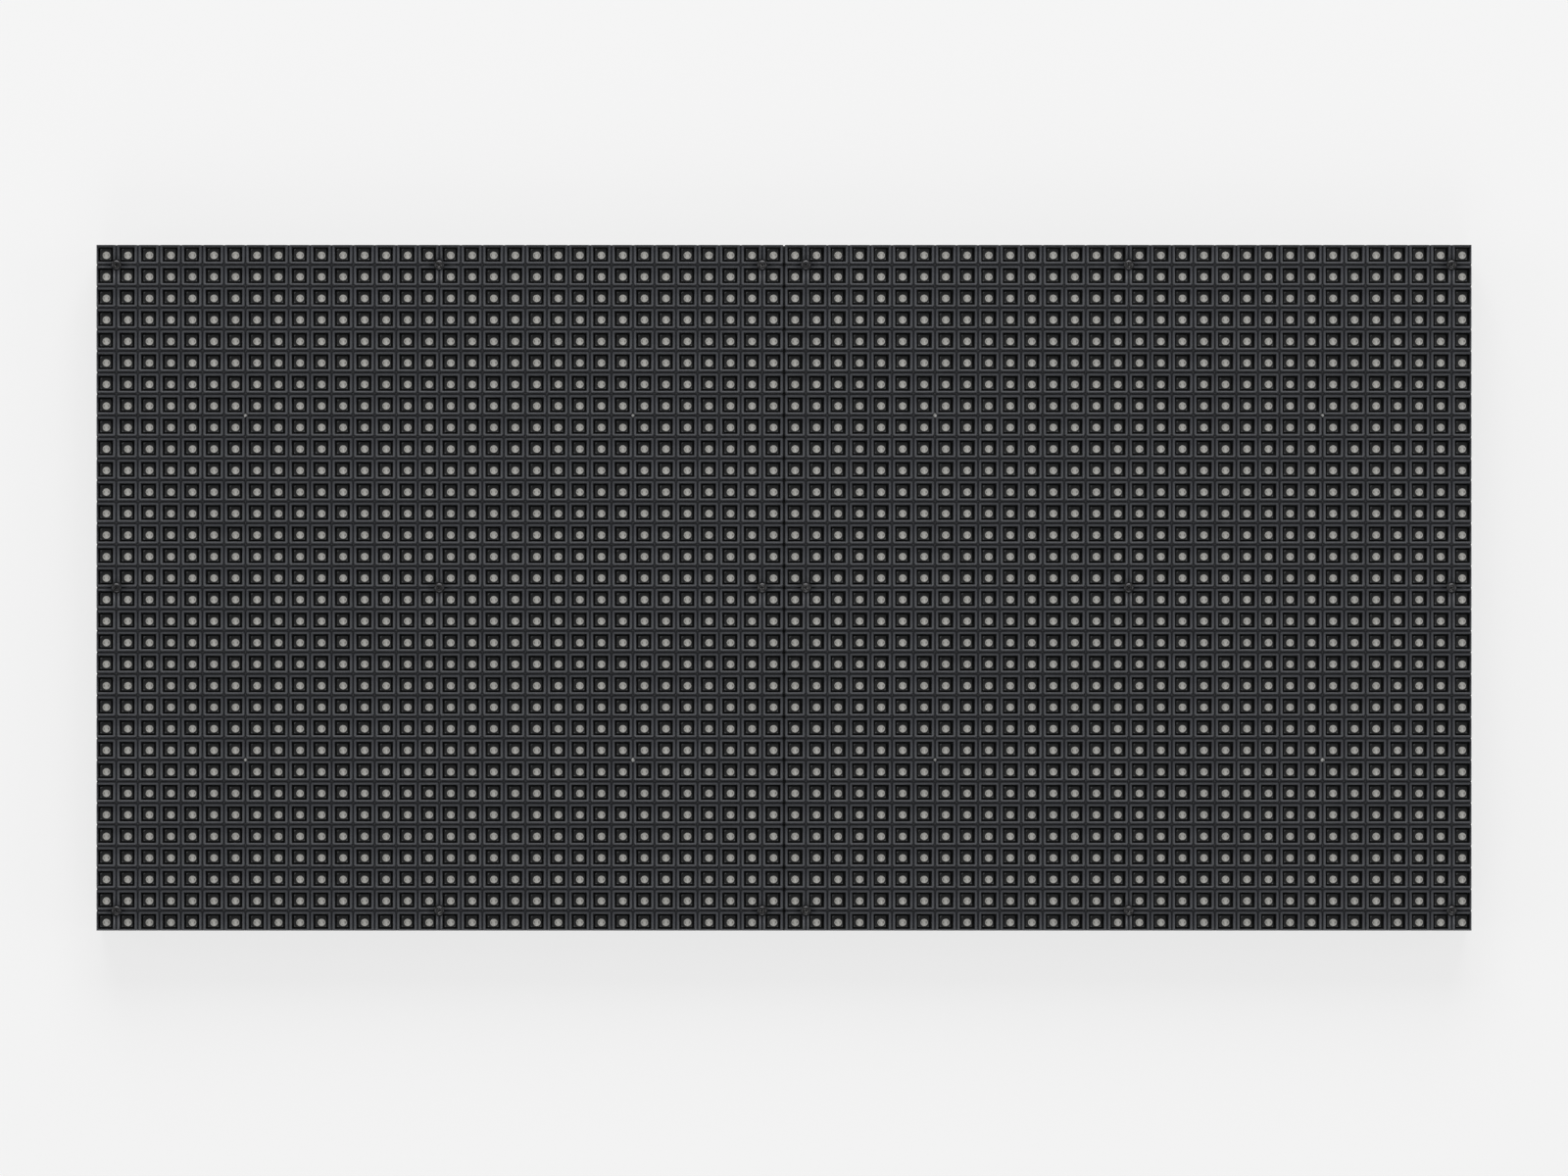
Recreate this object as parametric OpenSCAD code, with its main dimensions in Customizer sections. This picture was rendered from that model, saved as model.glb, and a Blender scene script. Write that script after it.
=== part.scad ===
// Full-colour LED matrix module, lying on its back with the display face up.
// A moulded frame carries the circuit board. Two black window masks lie on the board side by
// side, and small screws between the windows hold mask, board and frame together.
// +X runs along the rows of LEDs, +Y is the display's up, +Z is where it shines.

/* [LED grid] */
// Distance from one LED to the next, both ways
pitch = 4; // [3.8:0.05:4.4]
// How far the outer cells may reach past a mask's edges, both sides together
cell_overhang = 0.7; // [0.65:0.05:0.8]
// Diameter of the clear lens on each LED
lens_d = 1.5; // [1.3:0.05:1.8]
// Height of an LED over its board
led_h = 1.5; // [1.2:0.1:1.9]
// How far the LED grid sits right of the module's middle
led_shift_x = 0.06; // [0:0.01:0.2]
// How far the board with its LEDs hangs below the masks
led_drop = 0.22; // [0:0.01:0.3]

/* [Masks] */
// Width of one mask
mask_w = 127.6; // [111.6:4:143.6]
// Height of one mask
mask_h = 127.4; // [111.4:4:143.4]
// Thickness of a mask, up to the floor of the grooves between its windows
mask_t = 2.1; // [1.9:0.1:2.5]
// Side of a square window
window_w = 2.65; // [2.3:0.05:2.7]
// How far the window grid lies off a mask's middle, towards the outer rim
window_outset = 0.135; // [0:0.005:0.2]
// Gap between the two masks
mask_seam = 0.25; // [0.1:0.05:0.5]
// Width of the notches in a mask's upper edge, one at the end of each groove
notch_w = 0.4; // [0.2:0.05:0.6]
// Depth of those notches
notch_depth = 0.18; // [0.1:0.02:0.25]
// How much higher the masks sit on the display than the frame
mask_rise = 0.1; // [0:0.02:0.3]

/* [Mask screws] */
// Cells between a mask's edge and its outer screws
screw_inset = 1; // [1:1:3]
// Diameter of the screw head
head_d = 1.85; // [1.6:0.05:2]
// Thickness of the screw head
head_h = 0.5; // [0.4:0.05:0.7]
// Bevel round the top of the screw head
head_bevel = 0.2; // [0.1:0.05:0.3]
// Diameter of the screw shank
shank_d = 1.1; // [1:0.05:1.3]
// Length of the shank under the head
shank_l = 8; // [6:0.5:9]
// Length of the shank's point
point_l = 0.8; // [0.5:0.1:1.2]
// Width of the slots in the cross recess
cross_w = 0.28; // [0.2:0.02:0.36]
// Length of the slots in the cross recess
cross_l = 1.15; // [0.8:0.05:1.3]
// Depth of the cross recess
cross_depth = 0.3; // [0.2:0.05:0.35]
// Gap round the shank in the mask and the board
shank_gap = 0.15; // [0.1:0.05:0.2]
// Turn of each screw after the one before
screw_turn = 67; // [10:1:80]

/* [Circuit board] */
// How much narrower the board is than the two masks together
board_trim_w = 0.45; // [0.3:0.05:0.8]
// How much lower the board is than a mask
board_trim_h = 0.4; // [0.3:0.05:0.8]
// Thickness of the board
board_t = 1.6; // [1.2:0.1:2]

/* [Frame] */
// Depth of the frame behind the board
frame_d = 10.4; // [10:0.1:14]
// How much wider the frame is than the board
frame_over_w = 0.4; // [0.1:0.05:0.6]
// How much higher the frame is than the board
frame_over_h = 0.4; // [0.1:0.05:0.6]
// Radius of the frame's corners
frame_r = 0.6; // [0.2:0.1:1]
// Thickness of the frame's outer wall
wall_t = 1.6; // [1.4:0.1:2]
// Width of the flange along the frame's back edge
flange_w = 12; // [10:0.5:14]
// Thickness of the flange and of the crossbars' webs
flange_t = 2; // [1.5:0.1:2.5]
// Width of the middle crossbar
mid_bar_w = 15; // [14.5:0.5:18]
// Width of the other crossbars
bar_w = 8; // [7:0.5:10]
// Gap between the ribs along the crossbars and the thickest chips
rib_gap = 0.5; // [0.2:0.1:1.5]
// Thickness of those ribs
rib_t = 1.4; // [1.2:0.1:1.8]
// Diameter of the posts that take the mask screws
post_d = 5; // [4.4:0.1:6]
// Gap between a screw's shank and its pilot hole
pilot_gap = 0.05; // [0.02:0.01:0.08]
// Depth of the pilot hole beyond the screw's tip
pilot_extra = 0.6; // [0.4:0.1:1]

/* [Threaded inserts] */
// Distance from the frame's ends to the middles of the corner inserts
insert_inset_x = 15.7; // [12:0.1:20]
// Distance from the frame's long sides to the middles of the inserts
insert_inset_y = 7.7; // [6:0.1:9]
// Outer diameter of an insert
insert_d = 4.6; // [4.2:0.1:5]
// Length of an insert
insert_l = 6; // [4:0.5:8]
// Diameter of the insert's hole
insert_hole_d = 2.5; // [2:0.1:3]
// Diameter of the boss round an insert
insert_boss_d = 8; // [7:0.2:9]
// Gap round the insert in its boss
insert_gap = 0.05; // [0.02:0.01:0.1]
// Depth of the boss's hole beyond the insert
insert_extra = 1; // [0.5:0.1:2]

/* [Signal headers] */
// Distance between pins
pin_pitch = 2.54; // [2.5:0.02:2.6]
// Pins in one row of a header
pins_per_row = 8; // [5:1:8]
// Side of a square pin
pin_w = 0.64; // [0.5:0.02:0.7]
// Gap round a pin in the header's floor
pin_gap = 0.04; // [0.02:0.01:0.08]
// Length of a header's shell
shell_l = 28; // [27.4:0.1:30]
// Width of a header's shell
shell_w = 8.9; // [8.4:0.1:9.6]
// Height of a header's shell
shell_h = 9; // [8:0.1:9.2]
// Thickness of a shell's walls
shell_wall = 1.2; // [1:0.1:1.5]
// Thickness of a shell's floor
shell_floor = 2.4; // [2:0.1:3]
// Width of the slot that keys the plug
key_w = 4.5; // [3.5:0.1:5]
// How far the pins stop short of the shell's mouth
pin_short = 1.4; // [1:0.1:2]
// Gap between a signal header and the flange at its end of the frame
header_gap = 13.25; // [9:0.05:18]

/* [Power header] */
// Distance between power pins
power_pitch = 3.96; // [3.9:0.02:4]
// Number of power pins
power_pins = 4; // [2:1:4]
// Side of a power pin
power_pin_w = 1.14; // [1:0.02:1.3]
// Plastic beyond the outer pins' centres
power_end = 2.1; // [1.8:0.1:2.6]
// Depth of the power header's base
power_base_d = 8; // [7:0.1:9]
// Thickness of the base
power_base_t = 3.2; // [2.6:0.1:4]
// Height of the latch wall over the base
power_latch_h = 4.6; // [3:0.1:5]
// Thickness of the latch wall
power_latch_t = 1.3; // [1:0.1:1.6]
// Height of the power pins over the base
power_pin_h = 5.2; // [4:0.1:5.8]
// Gap between the power header and the middle crossbar
power_gap_x = 2.5; // [1:0.1:5]
// Gap between the power header and the bar along the module
power_gap_y = 4; // [2:0.1:6]

/* [Chips] */
// Length of a column driver chip
driver_l = 8.65; // [8:0.05:9]
// Width of a column driver chip's body
driver_w = 3.9; // [3.6:0.1:4.2]
// Thickness of the chips' bodies
chip_t = 1.5; // [1.2:0.1:1.8]
// Draft of the chips' long sides
chip_draft = 0.12; // [0.05:0.01:0.2]
// Groups of column drivers along the module
driver_groups = 4; // [2:2:4]
// Drivers stacked in a group, above and again below the middle
driver_stack = 3; // [2:1:3]
// Distance from one driver to the next in a stack
driver_step = 11; // [9:0.5:12]
// Gap between the first driver of a stack and the signal header beside it
driver_gap = 6; // [3:0.5:8]
// Length of a row driver chip
row_chip_l = 4.9; // [4.6:0.1:5.2]
// Row drivers on each side
row_chips = 4; // [2:2:4]
// Distance between row drivers
row_chip_step = 11; // [9:0.5:12]
// Gap between the row drivers and the nearest crossbar
row_chip_gap = 7.5; // [4:0.5:10]
// Length of a decoder chip
decoder_l = 9.9; // [9:0.1:10.4]
// Gap between a decoder chip and the signal header beside it
decoder_gap = 8.5; // [6:0.5:10]
// Length of a buffer chip
buffer_l = 12.8; // [12:0.1:13.2]
// Width of a buffer chip
buffer_w = 7.5; // [7:0.1:7.8]
// Thickness of a buffer chip
buffer_t = 2.3; // [2:0.1:2.6]
// Buffer chips
buffers = 3; // [1:1:3]
// Distance from one buffer chip to the next
buffer_step = 12; // [10:0.5:13]
// Gap between the buffer chips and the middle crossbar
buffer_gap = 6; // [4:0.5:8]

/* [Capacitors and resistors] */
// Diameter of an electrolytic capacitor's can
can_d = 6.3; // [5:0.1:6.6]
// Height of an electrolytic capacitor's can
can_h = 6.6; // [5:0.1:7.4]
// Thickness of the capacitor's plastic base
can_base_t = 0.9; // [0.7:0.1:1.2]
// Depth of the groove rolled into a can, and of the bevel at its far end
can_groove = 0.25; // [0.1:0.05:0.4]
// Distance from a can's base to the middle of its groove
can_groove_z = 1; // [0.8:0.1:1.5]
// Margin of the base round a can
can_margin = 0.15; // [0.1:0.05:0.3]
// Length cut off two corners of the base, along each side
base_cut = 1.65; // [1:0.05:2]
// Gap between a can and the crossbar and flange beside it
can_gap = 2.6; // [2:0.1:6]
// Length of a chip resistor
resistor_l = 1.6; // [1.4:0.1:2]
// Width of a chip resistor
resistor_w = 0.8; // [0.7:0.05:1.2]
// Thickness of a chip resistor
resistor_t = 0.45; // [0.4:0.05:0.6]
// Length of a chip capacitor
chip_cap_l = 2; // [1.8:0.1:2.2]
// Width of a chip capacitor
chip_cap_w = 1.25; // [1.1:0.05:1.4]
// Thickness of a chip capacitor
chip_cap_t = 0.85; // [0.7:0.05:1]
// Gap between a driver chip and the small parts at its ends
trim_gap = 1.6; // [1.2:0.1:2.4]

/* [Hidden] */
eps = 0.01;
round_fn = 48;
small_fn = 24;

// heights, from the back up
board_z = frame_d;
mask_z = board_z + board_t;
mask_top = mask_z + mask_t;

// as many cells as a mask has room for, in pairs, so that a crossing lies in its middle
cols = 2 * floor((mask_w + cell_overhang) / (2 * pitch));
rows = 2 * floor((mask_h + cell_overhang) / (2 * pitch));

// sizes that follow the masks
masks_w = 2 * mask_w + mask_seam;
board_w = masks_w - board_trim_w;
board_h = mask_h - board_trim_h;
frame_w = board_w + frame_over_w;
frame_h = board_h + frame_over_h;

// places across the display
mask_x = (mask_w + mask_seam) / 2;
grid_x = mask_x + window_outset;
mask_y = mask_rise / 2;
frame_y = -mask_rise / 2;
led_x = grid_x - led_shift_x;
led_y = mask_y - led_drop;

// screws, on the crossings between the windows
screw_dx = (cols / 2 - screw_inset) * pitch;
screw_dy = (rows / 2 - screw_inset) * pitch;
SCREWS = [
    for (side = [-1, 1]) for (i = [-1 : 1]) for (j = [-1 : 1])
        [side * grid_x + i * screw_dx, mask_y + j * screw_dy]
];
shank_hole_d = shank_d + 2 * shank_gap;
pilot_d = shank_d + 2 * pilot_gap;
tip_z = mask_top - shank_l;

// ribs, inner edges of the frame's flange, and its inserts
rib_h = frame_d - buffer_t - rib_gap;
bay_x = frame_w / 2 - flange_w;
bay_y = frame_h / 2 - flange_w;
insert_x = frame_w / 2 - insert_inset_x;
insert_y = frame_h / 2 - insert_inset_y;
INSERTS = [for (x = [-insert_x, 0, insert_x]) for (y = [-1, 1]) [x, frame_y + y * insert_y]];

// parts on the back of the board hang down from it, in the bays between the crossbars
power_l = (power_pins - 1) * power_pitch + 2 * power_end;
header_x = bay_x - header_gap - shell_w / 2;
decoder_x = header_x - shell_w / 2 - decoder_gap - decoder_l / 2;
row_chip_x = mask_x - bar_w / 2 - row_chip_gap - row_chip_l / 2;
buffer_x = mid_bar_w / 2 + buffer_gap + buffer_l / 2;
power_x = mid_bar_w / 2 + power_gap_x + power_l / 2;
power_y = frame_y - bar_w / 2 - power_gap_y - power_base_d / 2;
can_x = mask_x - bar_w / 2 - can_gap - can_d / 2;
can_y = bay_y - can_gap - can_d / 2;
driver_first = shell_l / 2 + driver_gap + driver_w / 2;
DRIVERS = [
    for (i = [0 : driver_groups - 1]) for (side = [-1, 1]) for (k = [0 : driver_stack - 1])
        [
            (i - (driver_groups - 1) / 2) * mask_x,
            frame_y + side * (driver_first + k * driver_step)
        ]
];
CANS = [for (x = [-can_x, can_x]) for (y = [-can_y, can_y]) [x, frame_y + y]];

module at_each(points) {
    for (p = points) translate([p.x, p.y, 0]) children();
}

module window_squares() {
    for (i = [0 : cols - 1]) for (j = [0 : rows - 1])
        translate([(i - (cols - 1) / 2) * pitch, (j - (rows - 1) / 2) * pitch])
            square(window_w, center = true);
}

// V notches along a mask's upper edge, between its columns of windows
module edge_notches() {
    for (i = [1 : cols - 1]) translate([(i - cols / 2) * pitch, mask_h / 2])
        polygon([[-notch_w / 2, eps], [0, -notch_depth], [notch_w / 2, eps]]);
}

// one mask: a plate with a square window over every LED, and holes for its screws
module mask(side) {
    color([0.22, 0.22, 0.24])
    translate([0, 0, mask_z])
    linear_extrude(mask_t)
    difference() {
        translate([side * mask_x, mask_y]) square([mask_w, mask_h], center = true);
        translate([side * grid_x, mask_y]) window_squares();
        translate([side * grid_x, mask_y]) edge_notches();
        at_each([for (s = SCREWS) if (s.x * side > 0) s])
            circle(d = shank_hole_d, $fn = small_fn);
    }
}

module mask_left() { mask(-1); }

module mask_right() { mask(1); }

// a pan head screw with a cross recess and a point
module mask_screw() {
    difference() {
        rotate_extrude($fn = small_fn)
        polygon([
            [0, -shank_l], [shank_d / 2, -shank_l + point_l], [shank_d / 2, 0], [head_d / 2, 0],
            [head_d / 2, head_h - head_bevel], [head_d / 2 - head_bevel, head_h], [0, head_h]
        ]);
        for (turn = [0, 90]) rotate(turn)
            translate([-cross_l / 2, -cross_w / 2, head_h - cross_depth])
            cube([cross_l, cross_w, cross_depth + eps]);
    }
}

module mask_screws() {
    color([0.1, 0.1, 0.11])
    for (k = [0 : len(SCREWS) - 1])
        translate([SCREWS[k].x, SCREWS[k].y, mask_top]) rotate(k * screw_turn) mask_screw();
}

// the lens column of every LED under one mask
module leds(side) {
    color([0.8, 0.79, 0.76])
    for (i = [0 : cols - 1]) for (j = [0 : rows - 1])
        translate([
            led_shift_x + side * led_x + (i - (cols - 1) / 2) * pitch,
            led_y + (j - (rows - 1) / 2) * pitch,
            mask_z
        ])
        cylinder(d = lens_d, h = led_h, $fn = small_fn);
}

module leds_left() { leds(-1); }

module leds_right() { leds(1); }

module circuit_board() {
    color([0.08, 0.1, 0.09])
    translate([0, 0, board_z])
    linear_extrude(board_t)
    difference() {
        translate([led_shift_x, led_y]) square([board_w, board_h], center = true);
        at_each(SCREWS) circle(d = shank_hole_d, $fn = small_fn);
    }
}

// the frame's outline, with its rounded corners
module frame_outline() {
    translate([0, frame_y])
    round_square(frame_w, frame_h, frame_r);
}

// a rectangle with true arcs at its corners
module round_square(w, h, r) {
    square([w - 2 * r, h], center = true);
    square([w, h - 2 * r], center = true);
    for (x = [-1, 1]) for (y = [-1, 1])
        translate([x * (w / 2 - r), y * (h / 2 - r)]) circle(r, $fn = round_fn);
}

// a crossbar: a flat web with a rib along each side, between two ends
module crossbar(from, to, w) {
    along_x = abs(to.x - from.x) > abs(to.y - from.y);
    size = along_x ? [to.x - from.x, w] : [w, to.y - from.y];
    mid = (from + to) / 2;
    translate([mid.x, mid.y, 0]) {
        linear_extrude(flange_t) square(size, center = true);
        for (s = [-1, 1]) {
            shift = s * (w - rib_t) / 2;
            linear_extrude(rib_h)
            translate(along_x ? [0, shift] : [shift, 0])
            square(along_x ? [size.x, rib_t] : [rib_t, size.y], center = true);
        }
    }
}

module back_frame() {
    top = frame_y + frame_h / 2 - wall_t / 2;
    bottom = frame_y - frame_h / 2 + wall_t / 2;
    color([0.09, 0.09, 0.1])
    difference() {
        union() {
            linear_extrude(frame_d) difference() {
                frame_outline();
                translate([0, frame_y])
                    square([frame_w - 2 * wall_t, frame_h - 2 * wall_t], center = true);
            }
            linear_extrude(flange_t) difference() {
                frame_outline();
                translate([0, frame_y])
                    square([2 * bay_x, 2 * bay_y], center = true);
            }
            crossbar([0, bottom], [0, top], mid_bar_w);
            for (side = [-1, 1]) {
                crossbar([side * mask_x, bottom], [side * mask_x, top], bar_w);
                crossbar(
                    [min(0, side * mask_x), frame_y], [max(0, side * mask_x), frame_y], bar_w
                );
            }
            at_each(SCREWS) cylinder(d = post_d, h = frame_d, $fn = round_fn);
            at_each(INSERTS) cylinder(d = insert_boss_d, h = frame_d, $fn = round_fn);
        }
        at_each(SCREWS) translate([0, 0, tip_z - pilot_extra])
            cylinder(d = pilot_d, h = frame_d, $fn = small_fn);
        at_each(INSERTS) translate([0, 0, -eps])
            cylinder(d = insert_d + 2 * insert_gap, h = insert_l + insert_extra + eps, $fn = round_fn);
    }
}

module threaded_inserts() {
    color([0.72, 0.58, 0.3])
    at_each(INSERTS)
    difference() {
        cylinder(d = insert_d, h = insert_l, $fn = round_fn);
        translate([0, 0, -eps]) cylinder(d = insert_hole_d, h = insert_l + 2 * eps, $fn = round_fn);
    }
}

PIN_SPOTS = [
    for (i = [0 : pins_per_row - 1]) for (s = [-1, 1])
        [s * pin_pitch / 2, (i - (pins_per_row - 1) / 2) * pin_pitch]
];

// a shrouded header hanging from the board, open towards the back
module signal_shell(side) {
    color([0.1, 0.1, 0.1])
    translate([side * header_x, frame_y, board_z - shell_h])
    difference() {
        translate([-shell_w / 2, -shell_l / 2, 0]) cube([shell_w, shell_l, shell_h]);
        translate([shell_wall - shell_w / 2, shell_wall - shell_l / 2, -eps])
            cube([shell_w - 2 * shell_wall, shell_l - 2 * shell_wall, shell_h - shell_floor + eps]);
        translate([-side * shell_w / 2 - shell_wall - eps, -key_w / 2, -eps])
            cube([2 * shell_wall + 2 * eps, key_w, shell_h - shell_floor + eps]);
        at_each(PIN_SPOTS) linear_extrude(shell_h + eps) square(pin_w + 2 * pin_gap, center = true);
    }
}

module signal_pins(side) {
    color([0.78, 0.68, 0.4])
    translate([side * header_x, frame_y, board_z - shell_h + pin_short])
    at_each(PIN_SPOTS) linear_extrude(shell_h - pin_short) square(pin_w, center = true);
}

module signal_in_shell() { signal_shell(1); }

module signal_out_shell() { signal_shell(-1); }

module signal_in_pins() { signal_pins(1); }

module signal_out_pins() { signal_pins(-1); }

POWER_SPOTS = [for (i = [0 : power_pins - 1]) [(i - (power_pins - 1) / 2) * power_pitch, 0]];

// the white power header: a base with a latch wall along one side
module power_base() {
    color([0.9, 0.89, 0.84])
    translate([power_x, power_y, board_z])
    difference() {
        rotate([0, 90, 0]) linear_extrude(power_l, center = true) polygon([
            [0, -power_base_d / 2], [power_base_t, -power_base_d / 2],
            [power_base_t, power_base_d / 2 - power_latch_t],
            [power_base_t + power_latch_h, power_base_d / 2 - power_latch_t],
            [power_base_t + power_latch_h, power_base_d / 2], [0, power_base_d / 2]
        ]);
        at_each(POWER_SPOTS) translate([0, 0, -power_base_t - eps])
            linear_extrude(power_base_t + 2 * eps)
            square(power_pin_w + 2 * pin_gap, center = true);
    }
}

module power_pins_set() {
    color([0.8, 0.8, 0.8])
    translate([power_x, power_y, board_z - power_base_t - power_pin_h])
    at_each(POWER_SPOTS)
        linear_extrude(power_base_t + power_pin_h) square(power_pin_w, center = true);
}

// a chip's body with its long sides drafted, seated on the board
module chip(l, w, t) {
    inner = w / 2 - chip_draft;
    translate([0, 0, board_z])
    rotate([0, 90, 0]) linear_extrude(l, center = true) polygon([
        [0, -inner], [t / 2, -w / 2], [t, -inner], [t, inner], [t / 2, w / 2], [0, inner]
    ]);
}

module column_drivers() {
    color([0.1, 0.1, 0.11]) at_each(DRIVERS) chip(driver_l, driver_w, chip_t);
}

module row_drivers() {
    color([0.1, 0.1, 0.11])
    for (side = [-1, 1]) for (j = [0 : row_chips - 1])
        translate([side * row_chip_x, frame_y + (j - (row_chips - 1) / 2) * row_chip_step, 0])
        chip(row_chip_l, driver_w, chip_t);
}

module decoder_chips() {
    color([0.1, 0.1, 0.11])
    for (side = [-1, 1]) translate([side * decoder_x, frame_y, 0])
        chip(decoder_l, driver_w, chip_t);
}

module buffer_chips() {
    color([0.1, 0.1, 0.11])
    for (j = [0 : buffers - 1])
        translate([-buffer_x, frame_y + (j - (buffers - 1) / 2) * buffer_step, 0])
        chip(buffer_l, buffer_w, buffer_t);
}

// the square base of a can, with two corners cut off
module capacitor_bases() {
    side = can_d / 2 + can_margin;
    color([0.12, 0.12, 0.12])
    at_each(CANS) translate([0, 0, board_z - can_base_t]) linear_extrude(can_base_t)
        polygon([
            [-side, -side], [side - base_cut, -side], [side, base_cut - side],
            [side, side - base_cut], [side - base_cut, side], [-side, side]
        ]);
}

// a can with a rolled groove near its base and a turned edge at its far end
module capacitor_cans() {
    r = can_d / 2;
    color([0.75, 0.76, 0.78])
    at_each(CANS) translate([0, 0, board_z - can_base_t]) mirror([0, 0, 1])
        rotate_extrude($fn = round_fn) polygon([
            [0, 0], [r, 0], [r, can_groove_z - can_groove], [r - can_groove, can_groove_z],
            [r, can_groove_z + can_groove], [r, can_h - can_groove], [r - can_groove, can_h],
            [0, can_h]
        ]);
}

// small parts at one end of every driver chip
module beside_drivers(dir, l, w, t) {
    at_each(DRIVERS)
        translate([dir * (driver_l / 2 + trim_gap + w / 2) - w / 2, -l / 2, board_z - t])
        cube([w, l, t]);
}

module chip_resistors() {
    color([0.15, 0.15, 0.17]) beside_drivers(1, resistor_l, resistor_w, resistor_t);
}

module chip_capacitors() {
    color([0.62, 0.5, 0.36]) beside_drivers(-1, chip_cap_l, chip_cap_w, chip_cap_t);
}

mask_left();
mask_right();
mask_screws();
leds_left();
leds_right();
circuit_board();
back_frame();
threaded_inserts();
signal_in_shell();
signal_in_pins();
signal_out_shell();
signal_out_pins();
power_base();
power_pins_set();
column_drivers();
row_drivers();
decoder_chips();
buffer_chips();
capacitor_bases();
capacitor_cans();
chip_resistors();
chip_capacitors();
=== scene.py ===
"""Looks of a full-colour LED matrix module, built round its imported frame.

The display lies face up: +X along its rows, +Y its up, +Z the way it shines. Meshes are shaped in
millimetres and turned to metres when they are finished, so every length here is in millimetres
unless its line says otherwise.
"""

from __future__ import annotations

import logging
import math
import random
from dataclasses import dataclass
from enum import Enum
from itertools import product
from typing import Any, Callable, Iterable, Mapping, Sequence

import bmesh
import bpy
from mathutils import Matrix, Vector

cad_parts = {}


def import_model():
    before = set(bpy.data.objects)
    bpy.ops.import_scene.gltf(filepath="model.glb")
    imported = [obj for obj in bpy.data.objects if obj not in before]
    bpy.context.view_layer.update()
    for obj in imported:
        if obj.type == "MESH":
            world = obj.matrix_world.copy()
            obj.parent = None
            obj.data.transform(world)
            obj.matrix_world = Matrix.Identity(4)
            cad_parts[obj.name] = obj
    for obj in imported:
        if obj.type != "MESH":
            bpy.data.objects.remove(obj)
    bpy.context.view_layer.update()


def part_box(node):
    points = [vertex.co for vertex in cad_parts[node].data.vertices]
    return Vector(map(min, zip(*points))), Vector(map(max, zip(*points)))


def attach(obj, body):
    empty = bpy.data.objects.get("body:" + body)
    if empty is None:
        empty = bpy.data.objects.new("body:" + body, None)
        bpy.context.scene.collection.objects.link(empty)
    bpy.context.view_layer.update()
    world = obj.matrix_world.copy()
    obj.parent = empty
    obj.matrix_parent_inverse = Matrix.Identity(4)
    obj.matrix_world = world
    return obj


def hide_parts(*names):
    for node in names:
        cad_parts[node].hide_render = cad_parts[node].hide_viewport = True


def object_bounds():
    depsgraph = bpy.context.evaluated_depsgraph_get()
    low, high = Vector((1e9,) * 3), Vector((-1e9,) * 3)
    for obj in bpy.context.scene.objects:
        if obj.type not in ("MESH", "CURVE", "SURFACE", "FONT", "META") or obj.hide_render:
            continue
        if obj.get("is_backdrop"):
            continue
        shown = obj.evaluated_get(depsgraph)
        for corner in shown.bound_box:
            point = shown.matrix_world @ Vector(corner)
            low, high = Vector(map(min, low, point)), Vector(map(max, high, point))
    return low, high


LOG = logging.getLogger("led_matrix")
MM = 0.001
PITCH = 4.0
CELLS = 32
DOUBLINGS = CELLS.bit_length() - 1
WINDOW_OUTSET = 0.135
SAME_SPOT = 1e-5
WELD = 0.002
EDGE_SAMPLES = 4
FLAT_MATCH, EDGE_MATCH = 0.995, 0.86
BODY = "root"
Colour = tuple[float, float, float]
Place = tuple[float, float]
Size = tuple[float, float, float]


class Side(Enum):
    """The two halves of the display; the value points outwards along X."""

    LEFT = -1
    RIGHT = 1

    @property
    def word(self) -> str:
        """The half's name, as the frame's nodes spell it."""
        return self.name.lower()


# ---------------------------------------------------------------- shader language


def _operator(operation: str, flipped: bool = False) -> Callable[["Sock", Any], "Sock"]:
    """Makes one of Sock's operators.

    Args:
        operation: What the Math node does.
        flipped: True if the other value comes first.

    Returns:
        The operator.
    """

    def apply(self: "Sock", other: Any) -> "Sock":
        """One Math node on the two values."""
        a, b = (other, self) if flipped else (self, other)
        return self.bench.node("ShaderNodeMath", {"operation": operation}, {0: a, 1: b})

    return apply


class Sock:
    """A value or colour in a material, which can be used in plain arithmetic."""

    def __init__(self, bench: "Bench", socket: bpy.types.NodeSocket | None) -> None:
        """Keeps the socket and the bench that owns it.

        Args:
            bench: The material under construction.
            socket: The node output that carries the value; none on the last node.
        """
        self.bench = bench
        self.socket = socket

    __add__, __radd__ = _operator("ADD"), _operator("ADD", True)
    __sub__, __rsub__ = _operator("SUBTRACT"), _operator("SUBTRACT", True)
    __mul__, __rmul__ = _operator("MULTIPLY"), _operator("MULTIPLY", True)
    __truediv__ = _operator("DIVIDE")


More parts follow.
